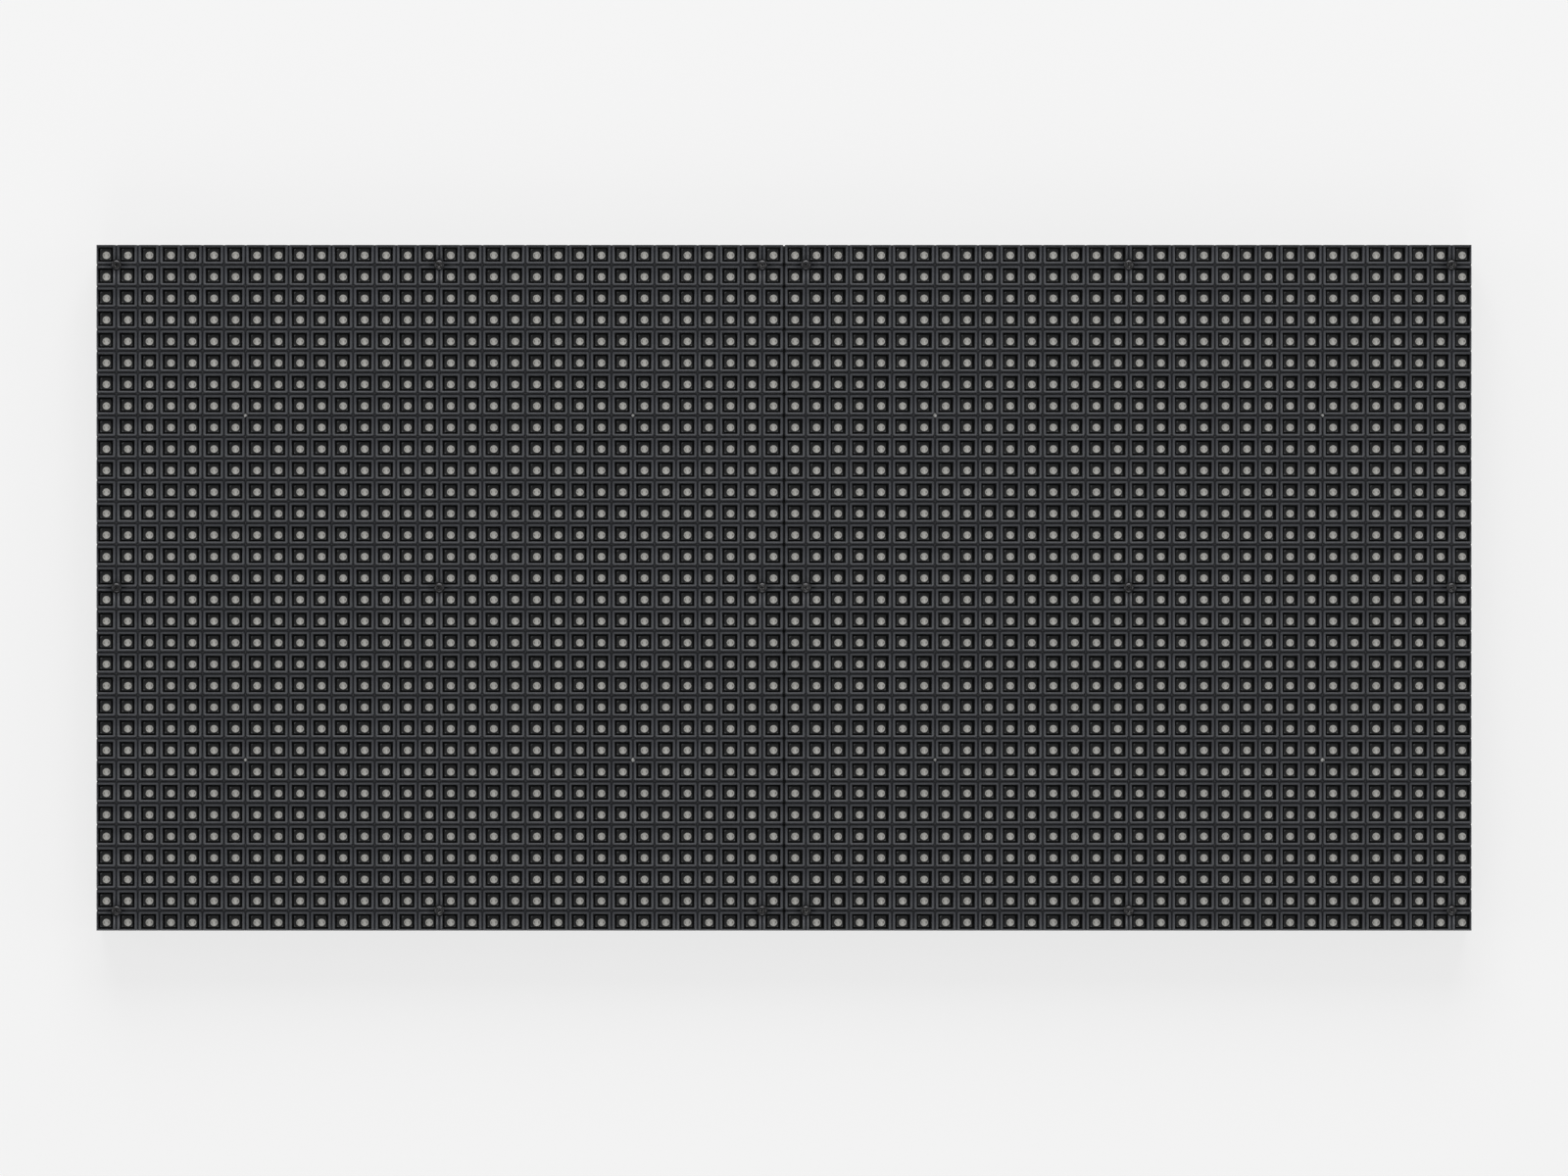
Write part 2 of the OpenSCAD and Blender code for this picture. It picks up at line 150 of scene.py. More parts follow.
class Bench:
    """A material or a sky under construction."""

    def __init__(self, owner: bpy.types.Material | bpy.types.World) -> None:
        """Empties the owner's nodes.

        Args:
            owner: What is being made.
        """
        owner.use_nodes = True
        self.owner = owner
        self.tree = owner.node_tree
        self.tree.nodes.clear()

    def node(
        self,
        kind: str,
        settings: Mapping[str, Any] | None = None,
        inputs: Mapping[int | str, Any] | None = None,
        output: int | str = 0,
    ) -> Sock:
        """Adds one node.

        Args:
            kind: The node's type.
            settings: Properties, set before the sockets.
            inputs: Socket values or links, by index or name.
            output: The output that is wanted.

        Returns:
            The wanted output.
        """
        made = self.tree.nodes.new(kind)
        for key, value in (settings or {}).items():
            setattr(made, key, value)
        for key, value in (inputs or {}).items():
            if isinstance(value, Sock):
                self.tree.links.new(value.socket, made.inputs[key])
            else:
                made.inputs[key].default_value = value
        return Sock(self, made.outputs[output] if made.outputs else None)

    def blend(self, factor: Any, a: Any, b: Any) -> Sock:
        """A colour between a and b.

        Args:
            factor: 0 gives a, 1 gives b.
            a: A colour or a link.
            b: A colour or a link.

        Returns:
            The mixed colour.
        """
        rgba = [value if isinstance(value, Sock) else (*value, 1.0) for value in (a, b)]
        return self.node(
            "ShaderNodeMix", {"data_type": "RGBA"}, {0: factor, 6: rgba[0], 7: rgba[1]}, 2
        )

    def place(self) -> Sock:
        """The point on the object, in metres."""
        return self.node("ShaderNodeTexCoord", output="Object")

    def noise(self, grain_mm: float, detail: float = 3.0) -> Sock:
        """Noise whose lumps are about grain_mm across, between 0 and 1."""
        return self.node(
            "ShaderNodeTexNoise",
            {"noise_dimensions": "3D"},
            {"Vector": self.place(), "Scale": 1 / (grain_mm * MM), "Detail": detail},
            "Fac",
        )

    def band(self, value: Sock, low: float, high: float) -> Sock:
        """Value stretched so that low gives 0 and high gives 1, and held between them."""
        return self.node(
            "ShaderNodeMapRange",
            {"clamp": True},
            {"Value": value, "From Min": low, "From Max": high},
        )

    def rounded(self, radius_mm: float) -> Sock:
        """The normal as if the piece's edges were rounded."""
        return self.node("ShaderNodeBevel", {"samples": EDGE_SAMPLES}, {"Radius": radius_mm * MM})

    def edges(self, radius_mm: float) -> Sock:
        """1 on the edges of the piece and 0 on its flats."""
        true = self.node("ShaderNodeNewGeometry", output="True Normal")
        match = self.node(
            "ShaderNodeVectorMath", {"operation": "DOT_PRODUCT"},
            {0: self.rounded(radius_mm), 1: true}, "Value",
        )
        return self.band(match, FLAT_MATCH, EDGE_MATCH)

    def relief(self, height: Sock, depth_mm: float, normal: Sock | None = None) -> Sock:
        """A normal bent by a height between 0 and 1."""
        inputs: dict[int | str, Any] = {"Height": height, "Strength": 1.0, "Distance": depth_mm * MM}
        if normal is not None:
            inputs["Normal"] = normal
        return self.node("ShaderNodeBump", {}, inputs, "Normal")

    def surface(self, inputs: Mapping[int | str, Any]) -> bpy.types.Material:
        """Ends the material in one principled shader.

        Args:
            inputs: The shader's sockets.

        Returns:
            The finished material.
        """
        shader = self.node("ShaderNodeBsdfPrincipled", {}, inputs, "BSDF")
        self.node("ShaderNodeOutputMaterial", {}, {"Surface": shader})
        return self.owner


# ---------------------------------------------------------------- finishes


@dataclass(frozen=True)
class Finish:
    """A moulded, turned or plated surface with grain, mottle and paler edges: worn on most pieces, a
    painted highlight on the screws.
    """

    name: str
    colour: Colour
    roughness: float
    metallic: float = 0.0
    grain_mm: float = 0.25
    grain_depth_mm: float = 0.006
    mottle: float = 0.25
    mottle_mm: float = 6.0
    edge_mm: float = 0.0
    edge_colour: Colour = (0.5, 0.5, 0.5)
    edge_share: float = 0.0
    specular: float = 0.5
    coat: float = 0.0
    coat_roughness: float = 0.08
    alpha: float = 1.0
    roughness_swing: float = 0.16
    broad_share: float = 0.6

    def material(self) -> bpy.types.Material:
        """The finish as a Blender material, made once."""
        found = bpy.data.materials.get(self.name)
        return found or self._build(Bench(bpy.data.materials.new(self.name)))

    def _shade(self, bench: Bench, colour: Sock) -> Sock:
        """The colour with what else varies over the surface; plain here."""
        return colour

    def _build(self, bench: Bench) -> bpy.types.Material:
        """Fills the material's nodes."""
        fine = bench.noise(self.grain_mm)
        broad = bench.noise(self.mottle_mm, 2.0)
        share = self.broad_share
        shade = bench.band(share * broad + (1 - share) * fine, 0.3, 0.7)
        dark, light = (
            tuple(min(1.0, channel * (1 + way * self.mottle)) for channel in self.colour)
            for way in (-1, 1)
        )
        colour = self._shade(bench, bench.blend(shade, dark, light))
        normal = bench.relief(fine, self.grain_depth_mm)
        if self.edge_mm:
            # Paler edges: edge wear on most finishes, a painted highlight on the screws' rims and
            # recess edges
            wear_and_highlight = bench.edges(self.edge_mm) * bench.band(fine, 0.25, 0.6) * self.edge_share
            colour = bench.blend(wear_and_highlight, colour, self.edge_colour)
            normal = bench.relief(fine, self.grain_depth_mm, bench.rounded(self.edge_mm))
        return bench.surface(
            {
                "Base Color": colour,
                "Roughness": self.roughness + self.roughness_swing * (broad - 0.5),
                "Metallic": self.metallic,
                "Specular IOR Level": self.specular,
                "Coat Weight": self.coat,
                "Coat Roughness": self.coat_roughness,
                "Alpha": self.alpha,
                "Normal": normal,
            }
        )


@dataclass(frozen=True)
class CollarFinish(Finish):
    """Black moulding with painted shade at the upper end of every collar and a painted sheen at its
    lower end.
    """

    grid_y_mm: float = 0.05
    # upper: colour of the painted shade at each cell's upper end
    upper: Colour = (0.036, 0.038, 0.043)
    upper_share: float = 0.75
    upper_reach: Place = (0.45, 0.04)
    # lower: colour of the painted sheen at each cell's lower end
    lower: Colour = (0.098, 0.101, 0.110)
    lower_share: float = 0.7
    lower_reach: Place = (0.35, 0.85)

    def _shade(self, bench: Bench, colour: Sock) -> Sock:
        """The colour with painted light: painted shade at each cell's upper end and a painted sheen at
        its lower one.
        """
        y = bench.node("ShaderNodeSeparateXYZ", {}, {0: bench.place()}, "Y")
        cells = (self.grid_y_mm * MM - y) / (PITCH * MM) + CELLS
        along = bench.node("ShaderNodeMath", {"operation": "FRACT"}, {0: cells})
        # high paints the shade at each cell's upper end; low paints the sheen at its lower end
        high = self.upper_share * bench.band(along, *self.upper_reach)
        low = self.lower_share * bench.band(along, *self.lower_reach)
        return bench.blend(low, bench.blend(high, colour, self.upper), self.lower)


@dataclass(frozen=True)
class SolderMask(Finish):
    """Matt black lacquer over copper tracks and glass weave."""

    track_mm: float = 1.27
    track_edge: Place = (0.55, 0.7)
    weave_mm: float = 0.55
    zone_mm: float = 11.0
    zone_scatter: float = 0.8
    over_track: Colour = (0.016, 0.020, 0.018)
    stain: Colour = (0.02, 0.021, 0.02)

    def _waves(self, bench: Bench, direction: str, size_mm: float) -> Sock:
        """Parallel ridges across the board, size_mm apart."""
        return bench.node(
            "ShaderNodeTexWave",
            {"wave_type": "BANDS", "bands_direction": direction, "wave_profile": "SIN"},
            {"Vector": bench.place(), "Scale": math.pi / (10 * size_mm * MM), "Distortion": 0.0},
            "Fac",
        )

    def _build(self, bench: Bench) -> bpy.types.Material:
        """Fills the material's nodes."""
        zone = bench.node(
            "ShaderNodeTexVoronoi", {"distance": "CHEBYCHEV"},
            {
                "Vector": bench.place(), "Scale": 1 / (self.zone_mm * MM),
                "Randomness": self.zone_scatter,
            }, "Color",
        )
        pick = bench.node("ShaderNodeSeparateColor", {}, {0: zone}, 0)
        along, across = (bench.band(self._waves(bench, way, self.track_mm), *self.track_edge)
                         for way in "XY")
        across_here = bench.band(pick, 0.45, 0.5)
        tracks = along * (1 - across_here) + across * across_here
        weave = self._waves(bench, "X", self.weave_mm) * self._waves(bench, "Y", self.weave_mm)
        fine = bench.noise(self.grain_mm)
        colour = bench.blend(tracks * 0.8, self.colour, self.over_track)
        colour = bench.blend(0.25 * bench.noise(self.mottle_mm), colour, self.stain)
        height = 0.7 * tracks + 0.15 * weave + 0.15 * fine
        return bench.surface(
            {
                "Base Color": colour,
                "Roughness": self.roughness + self.roughness_swing * fine,
                "Specular IOR Level": self.specular,
                "Normal": bench.relief(height, self.grain_depth_mm),
            }
        )


class Looks:
    """Every finish on the module."""

    # The collars carry painted shade at each cell's upper end and a painted sheen at its lower end
    MASK = CollarFinish(
        "mask_black", (0.060, 0.063, 0.071), 0.4, grain_mm=0.2, grain_depth_mm=0.03, mottle=0.2
    )
    BOARD = SolderMask(
        "board_solder_mask", (0.009, 0.011, 0.010), 0.38, grain_mm=0.2, grain_depth_mm=0.04,
        mottle_mm=9.0, roughness_swing=0.12,
    )
    GATE = Finish(
        "gate_scar_white", (0.42, 0.42, 0.41), 0.6, grain_mm=0.12, grain_depth_mm=0.03, mottle=0.7,
        mottle_mm=0.35,
    )
    # The pale edge colour is a painted highlight on the heads' rims and cross recess edges
    SCREW = Finish(
        "screw_black_oxide", (0.055, 0.055, 0.058), 0.34, metallic=0.9, grain_mm=0.1,
        grain_depth_mm=0.004, edge_mm=0.07, edge_colour=(0.75, 0.74, 0.72), edge_share=0.8,
    )
    PACKAGE = Finish(
        "led_package_black", (0.02, 0.021, 0.022), 0.55, grain_mm=0.14, mottle=0.3, mottle_mm=1.5
    )
    CUP = Finish(
        "led_cup_white", (0.66, 0.65, 0.61), 0.5, grain_mm=0.2, grain_depth_mm=0.004, mottle=0.08,
        mottle_mm=3.0,
    )
    LEAD_FRAME = Finish(
        "led_lead_frame", (0.33, 0.32, 0.30), 0.4, metallic=0.3, grain_mm=0.1,
        grain_depth_mm=0.002, mottle=0.3, mottle_mm=1.0,
    )
    LAND = Finish(
        "led_bond_land", (0.86, 0.85, 0.82), 0.35, metallic=0.2, grain_mm=0.1,
        grain_depth_mm=0.002, mottle=0.06,
    )
    CORNER = Finish(
        "led_corner_mark", (0.17, 0.175, 0.18), 0.5, grain_mm=0.1, mottle=0.5, mottle_mm=1.0
    )
    LENS = Finish(
        "led_epoxy", (0.74, 0.73, 0.70), 0.14, grain_mm=0.5, grain_depth_mm=0.001, mottle=0.05,
        coat=0.4, alpha=0.22,
    )
    FRAME = Finish(
        "frame_black", (0.03, 0.03, 0.032), 0.5, grain_mm=0.3, grain_depth_mm=0.012,
        mottle_mm=14.0, edge_mm=0.25, edge_colour=(0.09, 0.09, 0.095), edge_share=0.8,
    )
    BRASS = Finish(
        "insert_brass", (0.72, 0.53, 0.24), 0.3, metallic=1.0, grain_mm=0.2, mottle=0.18,
        mottle_mm=2.0, edge_mm=0.08, edge_colour=(0.9, 0.78, 0.5), edge_share=0.6,
    )
    HEADER = Finish(
        "header_black", (0.025, 0.025, 0.027), 0.5, grain_depth_mm=0.01,
        edge_mm=0.15, edge_colour=(0.08, 0.08, 0.085), edge_share=0.7,
    )
    GOLD = Finish(
        "pin_gold", (0.83, 0.62, 0.27), 0.24, metallic=1.0, grain_mm=0.3, grain_depth_mm=0.002,
        mottle=0.12, edge_mm=0.05, edge_colour=(0.95, 0.82, 0.5), edge_share=0.5,
    )
    NYLON = Finish(
        "power_nylon", (0.80, 0.78, 0.70), 0.42, grain_mm=0.4, grain_depth_mm=0.01, mottle=0.07,
        mottle_mm=4.0, edge_mm=0.2, edge_colour=(0.9, 0.89, 0.84), edge_share=0.7,
    )
    TIN = Finish(
        "tin_plate", (0.72, 0.72, 0.73), 0.3, metallic=1.0, grain_mm=0.2, grain_depth_mm=0.003,
        mottle=0.15, mottle_mm=1.0,
    )
    CHIP = Finish(
        "chip_epoxy", (0.028, 0.028, 0.03), 0.58, grain_mm=0.16, grain_depth_mm=0.008, mottle=0.3,
        mottle_mm=3.0, edge_mm=0.08, edge_colour=(0.07, 0.07, 0.07), edge_share=0.6,
    )
    CAN = Finish(
        "can_aluminium", (0.76, 0.77, 0.79), 0.3, metallic=1.0, grain_mm=0.3, grain_depth_mm=0.003,
        mottle=0.1, edge_mm=0.15, edge_colour=(0.92, 0.92, 0.93), edge_share=0.5,
    )
    RESISTOR = Finish(
        "resistor_film", (0.03, 0.03, 0.034), 0.3, grain_mm=0.2, mottle=0.2, mottle_mm=1.0,
        edge_mm=0.06, edge_colour=(0.3, 0.3, 0.3), edge_share=0.3,
    )
    CERAMIC = Finish(
        "capacitor_ceramic", (0.46, 0.34, 0.21), 0.5, grain_mm=0.2, mottle=0.2, mottle_mm=1.0,
        edge_mm=0.06, edge_colour=(0.6, 0.5, 0.36), edge_share=0.4,
    )


# ---------------------------------------------------------------- shaping


def verts_in(geom: Iterable[Any]) -> list[Any]:
    """The vertices among mixed mesh elements."""
    return [item for item in geom if isinstance(item, bmesh.types.BMVert)]


def add_object(name: str, data: Any) -> bpy.types.Object:
    """A new object in the scene."""
    made = bpy.data.objects.new(name, data)
    bpy.context.scene.collection.objects.link(made)
    return made


class Workpiece:
    """A mesh under the tools, in millimetres, which ends as one object of the module."""

    def __init__(self) -> None:
        """Starts with an empty mesh."""
        self.bm = bmesh.new()

    def shift(self, x: float, y: float, z: float, verts: Iterable[Any] | None = None) -> None:
        """Moves vertices, or all of them."""
        bmesh.ops.translate(self.bm, vec=(x, y, z), verts=list(verts or self.bm.verts))

    def everything(self) -> list[Any]:
        """Every vertex, edge and face."""
        return [*self.bm.verts, *self.bm.edges, *self.bm.faces]

    def face_out(self) -> None:
        """Turns every face's normal outwards."""
        bmesh.ops.recalc_face_normals(self.bm, faces=self.bm.faces)

    def cut_back(self, geom: Iterable[Any], offset: float, affect: str = "EDGES") -> None:
        """Cuts edges or corners off flat."""
        bmesh.ops.bevel(
            self.bm, geom=list(geom), offset=offset, offset_type="OFFSET", segments=1,
            profile=0.5, affect=affect, material=-1,
        )

    def block(self, size: Sequence[float], middle: Sequence[float]) -> list[Any]:
        """Adds a cuboid.

        Args:
            size: Its three sides.
            middle: Its centre.

        Returns:
            Its vertices.
        """
        place = Matrix.Translation(middle) @ Matrix.Diagonal((*size, 1))
        return bmesh.ops.create_cube(self.bm, size=1, matrix=place)["verts"]

    def turned(self, profile: Sequence[Place], steps: int) -> list[Any]:
        """Spins a profile of (radius, height) points round Z.

        Args:
            profile: The outline, from the axis up and round to the axis, or a closed loop.
            steps: Facets round the turn.

        Returns:
            The new vertices.
        """
        before = set(self.bm.verts)
        points = [self.bm.verts.new((radius, 0, height)) for radius, height in profile]
        edges = [self.bm.edges.new(pair) for pair in zip(points, points[1:])]
        bmesh.ops.spin(
            self.bm, geom=points + edges, cent=(0, 0, 0), axis=(0, 0, 1), dvec=(0, 0, 0),
            angle=math.tau, steps=steps, use_merge=True, use_duplicate=False,
        )
        made = [vert for vert in self.bm.verts if vert not in before]
        bmesh.ops.remove_doubles(self.bm, verts=made, dist=SAME_SPOT)
        return [vert for vert in self.bm.verts if vert not in before]

    def tile(self, columns_doubled: int, rows_doubled: int, step: float) -> None:
        """Repeats the mesh over a grid by doubling it.

        Args:
            columns_doubled: Doublings along X.
            rows_doubled: Doublings along Y.
            step: Distance between copies.
        """
        for axis, doublings in ((0, columns_doubled), (1, rows_doubled)):
            for turn in range(doublings):
                away = [0.0, 0.0, 0.0]
                away[axis] = step * 2**turn
                copy = bmesh.ops.duplicate(self.bm, geom=self.everything())["geom"]
                self.shift(*away, verts_in(copy))

    def scatter(self, places: Iterable[Matrix]) -> None:
        """Repeats the mesh at each place, and removes the first."""
        seed = self.everything()
        for place in places:
            copy = bmesh.ops.duplicate(self.bm, geom=seed)["geom"]
            bmesh.ops.transform(self.bm, matrix=place, verts=verts_in(copy))
        bmesh.ops.delete(self.bm, geom=verts_in(seed), context="VERTS")

    def mesh(self, name: str, crease_deg: float) -> bpy.types.Mesh:
        """Turns the work into a mesh in metres, smooth except at sharp edges."""
        bmesh.ops.scale(self.bm, vec=(MM, MM, MM), verts=self.bm.verts)
        limit = math.radians(crease_deg)
        for edge in self.bm.edges:
            edge.smooth = edge.calc_face_angle(0.0) < limit
        for face in self.bm.faces:
            face.smooth = True
        made = bpy.data.meshes.new(name)
        self.bm.to_mesh(made)
        self.bm.free()
        return made

    def finish(
        self, name: str, look: Finish, stands_for: Sequence[str], crease_deg: float = 32
    ) -> bpy.types.Object:
        """Ends the work as a piece of the module.

        Args:
            name: The piece's name.
            look: Its finish.
            stands_for: The frame's nodes that it replaces.
            crease_deg: Edges sharper than this stay sharp.

        Returns:
            The piece.
        """
        return fit_piece(self.mesh(name, crease_deg), name, look, stands_for)


def fit_piece(
    mesh: bpy.types.Mesh, name: str, look: Finish, stands_for: Sequence[str]
) -> bpy.types.Object:
    """Adds a mesh to the module.

    Args:
        mesh: The mesh, in metres and in place.
        name: The piece's name.
        look: Its finish.
        stands_for: The frame's nodes that it replaces.

    Returns:
        The piece.
    """
    piece = add_object(name, mesh)
    mesh.materials.clear()
    mesh.materials.append(look.material())
    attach(piece, BODY)
    if stands_for:
        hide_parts(*stands_for)
    LOG.info("%s: %d faces", name, len(mesh.polygons))
    return piece


def carve(mesh: bpy.types.Mesh, cutter: bpy.types.Mesh, crossing: bool = False) -> bpy.types.Mesh:
    """Cuts one closed mesh out of another.

    Args:
        mesh: What is cut.
        cutter: What it is cut with.
        crossing: True if the cutter's own parts cross.

    Returns:
        The cut mesh.
    """
    blank, tool = add_object("carve_blank", mesh), add_object("carve_tool", cutter)
    cut = blank.modifiers.new("cut", "BOOLEAN")
    cut.operation, cut.solver, cut.object = "DIFFERENCE", "EXACT", tool
    cut.use_self = crossing
    graph = bpy.context.evaluated_depsgraph_get()
    carved = bpy.data.meshes.new_from_object(blank.evaluated_get(graph))
    name = mesh.name
    for spent in (blank, tool):
        bpy.data.objects.remove(spent)
    for spent in (mesh, cutter):
        bpy.data.meshes.remove(spent)
    carved.name = name
    weld = bmesh.new()
    weld.from_mesh(carved)
    bmesh.ops.remove_doubles(weld, verts=weld.verts, dist=WELD * MM)
    bmesh.ops.dissolve_degenerate(weld, edges=weld.edges, dist=WELD * MM)
    weld.to_mesh(carved)
    weld.free()
    return carved


def boundary_loops(bm: bmesh.types.BMesh) -> list[list[Any]]:
    """The vertices round every open edge loop, the longest loop first."""
    open_at: dict[Any, list[Any]] = {}
    for edge in bm.edges:
        if edge.is_boundary:
            for vert in edge.verts:
                open_at.setdefault(vert, []).append(edge)
    loops, seen = [], set()
    for first in open_at:
        if first in seen:
            continue
        loop, vert, came = [], first, None
        while vert not in seen:
            seen.add(vert)
            loop.append(vert)
            came = next(edge for edge in open_at[vert] if edge is not came)
            vert = came.other_vert(vert)
        loops.append(loop)
    return sorted(loops, key=len, reverse=True)


def corners_of(node: str) -> list[Vector]:
    """The low and the high corner of a node's box."""
    return [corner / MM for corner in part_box(node)]


def spaced(count: int, step: float) -> list[float]:
    """Evenly spaced places round zero."""
    return [(index - (count - 1) / 2) * step for index in range(count)]


def from_centre(distance: float) -> float:
    """How far a distance from the grid's centre lies from the nearest cell's middle."""
    cells = distance / PITCH - 0.5
    return (cells - round(cells)) * PITCH


def crossings() -> list[Place]:
    """Where the mask screws stand."""
    low, high = corners_of("mask_screws")
    reach = (CELLS / 2 - 1) * PITCH
    head = MaskScrews.head_d / 2
    outer = high.x - head
    columns = [side * x for side in (-1, 1) for x in (outer, outer - reach, outer - 2 * reach)]
    centre = (low.y + high.y) / 2
    return [(x, centre + row * reach) for x in columns for row in (-1, 0, 1)]


# ---------------------------------------------------------------- the display face


@dataclass(frozen=True)
class Ring:
    """One ring of a collar's section: how far it goes in, and how far up."""

    inset: float
    rise: float


@dataclass
class WindowMask:
    """One mask: collars round the windows, grooves between them, recesses for the screws."""

    side: Side
    groove_drop: float = 0.4
    groove: Ring = Ring(0.02, 0.0)
    wall: Ring = Ring(0.10, 0.66)
    shoulder: Ring = Ring(0.14, 0.19)
    crown_out: Ring = Ring(0.17, 0.04)
    crown_in: Ring = Ring(0.17, -0.04)
    lip: Ring = Ring(0.06, -0.14)
    corner_cut: float = 0.32
    slim_y: float = 0.07
    window_low: float = 0.03
    draft_x: float = 0.05
    notch_deep: float = 0.18
    recess_d: float = 2.15
    shank_d: float = 1.4
    near: float = 0.01

    def build(self) -> None:
        """Shapes the mask and adds it to the module."""
        work = Workpiece()
        name = f"mask_{self.side.word}"
        low, high = corners_of(name)
        grid = Vector(((low.x + high.x) / 2 + self.side.value * WINDOW_OUTSET,
                       (low.y + high.y) / 2, high.z - self.groove_drop))
        self._collars(work, grid, grid.z - low.z)
        self._settle(work, grid, low.z)
        self._trim(work, low, high)
        self._notch(work, grid, low, high)
        self._walls(work, low.z)
        self._underside(work, grid, low.z)
        cutter = self._screw_cutter(low, high)
        mesh = carve(work.mesh(f"window_mask_{self.side.word}", 40), cutter)
        fit_piece(mesh, mesh.name, Looks.MASK, [name])

    def _collars(self, work: Workpiece, grid: Vector, slab_t: float) -> None:
        """Raises a collar with cut corners round every window and sinks the window's walls.

        Args:
            work: The mesh.
            grid: The window grid's centre, on the groove floor.
            slab_t: Thickness under the grooves.
        """
        bm = work.bm
        bmesh.ops.create_grid(bm, x_segments=CELLS, y_segments=CELLS, size=CELLS * PITCH / 2)
        work.shift(*grid)
        cells = list(bm.faces)
        self._inset(bm, cells, self.groove)
        corners = [vert for cell in cells for vert in cell.verts]
        work.cut_back(corners, self.corner_cut, "VERTICES")
        cells = [face for face in bm.faces if len(face.verts) == 8 and self._holds_centre(face, grid)]
        rings = (self.wall, self.shoulder, self.crown_out, self.crown_in, self.lip)
        for ring in rings:
            self._inset(bm, cells, ring)
        drop = slab_t + sum(ring.rise for ring in rings)
        self._inset(bm, cells, Ring(0.0, -drop))
        bmesh.ops.delete(bm, geom=cells, context="FACES_ONLY")

    @staticmethod
    def _inset(bm: bmesh.types.BMesh, cells: Sequence[Any], ring: Ring) -> None:
        """Goes one ring further in on every cell."""
        bmesh.ops.inset_individual(bm, faces=cells, thickness=ring.inset, depth=ring.rise)

    @staticmethod
    def _holds_centre(face: Any, grid: Vector) -> bool:
        """True if a face's middle is a cell's middle."""
        spot = face.calc_center_median() - grid
        return all(abs(from_centre(value)) < 0.05 * PITCH for value in (spot.x, spot.y))

    def _settle(self, work: Workpiece, grid: Vector, floor_z: float) -> None:
        """Widens the grooves along the rows, squares, lowers and drafts the windows.

        Args:
            work: The mesh.
            grid: The window grid's centre, on the groove floor.
            floor_z: The mask's underside.
        """
        offsets = {
            vert: (from_centre(vert.co.x - grid.x), from_centre(vert.co.y - grid.y))
            for vert in work.bm.verts
        }
        inner = min(offsets.values(), key=lambda spot: max(map(abs, spot)))
        window = min(map(abs, inner))
        lip = window + self.lip.inset + self.near
        for vert, (dx, dy) in offsets.items():
            reach = max(abs(dx), abs(dy))
            if abs(dy) > lip + 2 * self.near and PITCH / 2 - reach > 0.1 * self.near:
                vert.co.y -= math.copysign(self.slim_y, dy)
            if reach < window + 4 * self.near:
                vert.co.x += math.copysign(window, dx) - dx
                vert.co.y += math.copysign(window, dy) - dy
            if reach < lip:
                vert.co.y -= self.window_low
                if abs(vert.co.z - floor_z) < self.near:
                    vert.co.x -= math.copysign(self.draft_x, dx)

    @staticmethod
    def _trim(work: Workpiece, low: Vector, high: Vector) -> None:
        """Cuts the outer cells at the mask's outline."""
        for point, out in (
            ((low.x, 0, 0), (-1, 0, 0)), ((high.x, 0, 0), (1, 0, 0)),
            ((0, low.y, 0), (0, -1, 0)), ((0, high.y, 0), (0, 1, 0)),
        ):
            bmesh.ops.bisect_plane(
                work.bm, geom=work.everything(), plane_co=point, plane_no=out, clear_outer=True,
                dist=SAME_SPOT,
            )

    def _notch(self, work: Workpiece, grid: Vector, low: Vector, high: Vector) -> None:
        """Pulls the outline in where a groove runs out of it."""
        floor = self.groove.inset + 2 * self.near
        for axis, other in ((0, 1), (1, 0)):
            for edge, inwards in ((low[axis], 1), (high[axis], -1)):
                for vert in work.bm.verts:
                    along = (vert.co[other] - grid[other]) / PITCH
                    if (
                        abs(vert.co[axis] - edge) < 10 * SAME_SPOT
                        and abs(along - round(along)) * PITCH < floor
                        and abs(along) < CELLS / 2 - 0.5
                    ):
                        vert.co[axis] += inwards * self.notch_deep

    def _walls(self, work: Workpiece, floor_z: float) -> None:
        """Drops the outer walls to the board."""
        bm = work.bm
        rim = [edge for edge in bm.edges if edge.is_boundary and
               max(vert.co.z for vert in edge.verts) > floor_z + self.near]
        for vert in verts_in(bmesh.ops.extrude_edge_only(bm, edges=rim)["geom"]):
            vert.co.z = floor_z
        bmesh.ops.remove_doubles(bm, verts=bm.verts, dist=SAME_SPOT)

    @staticmethod
    def _underside(work: Workpiece, grid: Vector, floor_z: float) -> None:
        """Closes the underside, four faces to a window.

        Args:
            work: The mesh.
            grid: The window grid's centre.
            floor_z: The mask's underside.
        """
        bm = work.bm
        outline, *windows = boundary_loops(bm)
        half = CELLS // 2
        nodes: dict[tuple[int, int], Any] = {}
        for i in range(-half, half + 1):
            for j in range(-half, half + 1):
                spot = Vector((grid.x + i * PITCH, grid.y + j * PITCH, floor_z))
                if half in (abs(i), abs(j)):
                    nodes[i, j] = min(outline, key=lambda vert: (vert.co - spot).length)
                else:
                    nodes[i, j] = bm.verts.new(spot)
        place = {vert: index for index, vert in enumerate(outline)}
        count = len(outline)
        for window in windows:
            middle = sum((vert.co for vert in window), Vector()) / len(window)
            i, j = (math.floor((middle[axis] - grid[axis]) / PITCH) for axis in (0, 1))
            window.sort(key=lambda vert: (math.atan2(vert.co.y - middle.y, vert.co.x - middle.x)
                                          + math.pi / 2) % math.tau)
            ring = [nodes[i + 1, j], nodes[i + 1, j + 1], nodes[i, j + 1], nodes[i, j]]
            for side in range(4):
                start, end = ring[side], ring[(side + 1) % 4]
                between: list[Any] = []
                if start in place and end in place:
                    steps = (place[end] - place[start]) % count
                    turn = 1 if steps < count / 2 else -1
                    between = [outline[(place[start] + turn * step) % count]
                               for step in range(1, min(steps, count - steps))]
                bm.faces.new([start, *between, end, window[(side + 1) % 4], window[side]])
        work.face_out()

